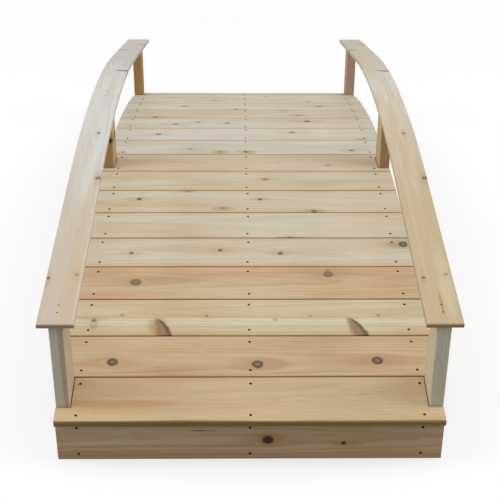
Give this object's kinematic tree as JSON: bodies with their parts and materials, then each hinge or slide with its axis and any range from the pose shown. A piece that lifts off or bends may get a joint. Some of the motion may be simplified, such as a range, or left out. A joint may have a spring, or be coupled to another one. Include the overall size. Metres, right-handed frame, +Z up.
{
  "type": "arched garden bridge",
  "caption": "Low arched timber garden footbridge: plank deck on curved stringers, bowed hand rails on short notched-in posts, closed ends; stands on both banks and is walked over.",
  "frame": {"origin": "middle of the bridge's plan, on the ground that it stands on", "axes": "+Y along the span, away from the pictured end; +X to the right seen from that end; +Z up"},
  "size_m": [0.9856, 2.3668, 0.5325],
  "materials": {
    "deck_cedar": "planed, unfinished",
    "stringer_cedar": "sawn, unfinished",
    "post_cedar": "planed, unfinished",
    "rail_cedar": "planed, unfinished",
    "fascia_cedar": "planed, unfinished"
  },
  "bodies": {
    "root": {"deck_board_01": "deck_cedar", "deck_board_02": "deck_cedar", "deck_board_03": "deck_cedar", "deck_board_04": "deck_cedar", "deck_board_05": "deck_cedar", "deck_board_06": "deck_cedar", "deck_board_07": "deck_cedar", "deck_board_08": "deck_cedar", "deck_board_09": "deck_cedar", "deck_board_10": "deck_cedar", "deck_board_11": "deck_cedar", "deck_board_12": "deck_cedar", "deck_board_13": "deck_cedar", "deck_board_14": "deck_cedar", "deck_board_15": "deck_cedar", "deck_board_16": "deck_cedar", "deck_board_17": "deck_cedar", "left_stringer": "stringer_cedar", "centre_stringer": "stringer_cedar", "right_stringer": "stringer_cedar", "left_front_post": "post_cedar", "left_middle_post": "post_cedar", "left_rear_post": "post_cedar", "right_front_post": "post_cedar", "right_middle_post": "post_cedar", "right_rear_post": "post_cedar", "left_rail": "rail_cedar", "right_rail": "rail_cedar", "front_fascia": "fascia_cedar", "rear_fascia": "fascia_cedar"}
  },
  "joints": []
}
